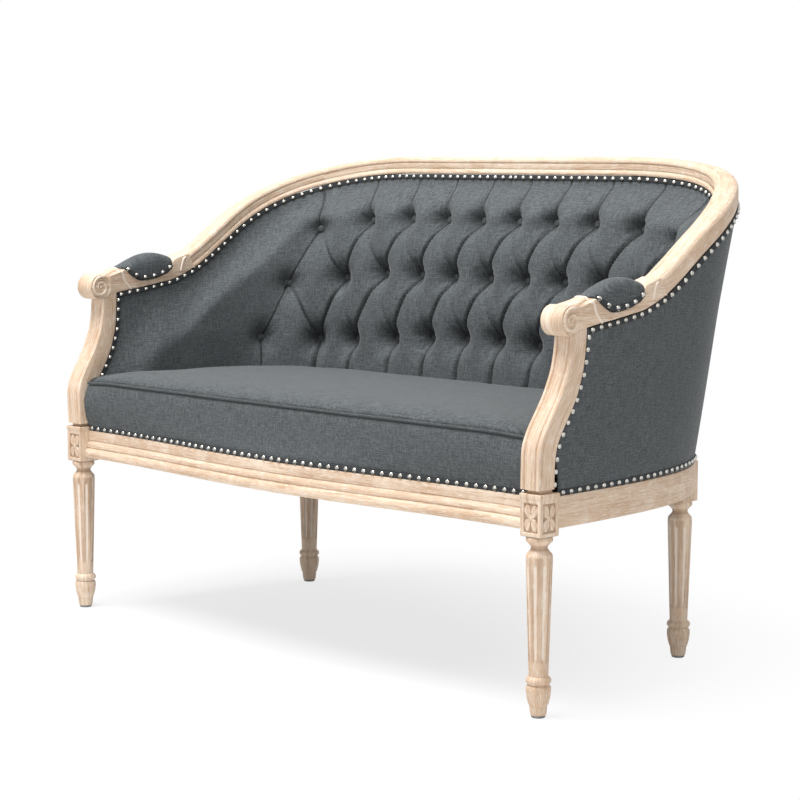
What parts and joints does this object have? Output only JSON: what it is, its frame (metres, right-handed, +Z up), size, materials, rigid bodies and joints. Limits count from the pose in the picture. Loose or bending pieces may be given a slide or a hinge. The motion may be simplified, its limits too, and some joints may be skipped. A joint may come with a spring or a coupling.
{
  "type": "tufted loveseat",
  "caption": "Two-seat tub settee with a deep-buttoned diamond-tufted back, padded scroll arms, bowed seat rail and fluted turned legs in limed oak, covered in charcoal woven fabric.",
  "frame": {"origin": "centre of the footprint (the bounding box seen from above) at floor level", "axes": "+X to the right of a person facing the settee, along its width; +Y from its front to its back; +Z up"},
  "size_m": [1.27, 0.6704, 0.882],
  "materials": {
    "limed_oak": "whitewashed pale oak, satin, with darker grain",
    "grey_fabric": "charcoal woven linen look, matt",
    "frame_beech": "plain sawn hardwood",
    "jute_webbing": "woven jute",
    "black_lining": "black non-woven lining",
    "glide_nylon": "moulded nylon"
  },
  "bodies": {
    "root": {"front_leg_left": "limed_oak", "back_leg_left": "limed_oak", "front_glide_left": "glide_nylon", "back_glide_left": "glide_nylon", "side_rail_left": "limed_oak", "arm_post_left": "limed_oak", "arm_left": "limed_oak", "side_top_rail_left": "limed_oak", "inside_arm_pad_left": "grey_fabric", "arm_pad_left": "grey_fabric", "outside_arm_cover_left": "grey_fabric", "back_post_left": "frame_beech", "front_corner_block_left": "frame_beech", "back_corner_block_left": "frame_beech", "front_leg_right": "limed_oak", "back_leg_right": "limed_oak", "front_glide_right": "glide_nylon", "back_glide_right": "glide_nylon", "side_rail_right": "limed_oak", "arm_post_right": "limed_oak", "arm_right": "limed_oak", "side_top_rail_right": "limed_oak", "inside_arm_pad_right": "grey_fabric", "arm_pad_right": "grey_fabric", "outside_arm_cover_right": "grey_fabric", "back_post_right": "frame_beech", "front_corner_block_right": "frame_beech", "back_corner_block_right": "frame_beech", "front_rail": "limed_oak", "back_rail": "frame_beech", "crest_rail": "limed_oak", "back_pad": "grey_fabric", "seat_pad": "grey_fabric", "seat_welt": "grey_fabric", "outside_back_cover": "grey_fabric", "seat_webbing": "jute_webbing", "seat_brace": "frame_beech", "dust_cover": "black_lining"}
  },
  "joints": []
}
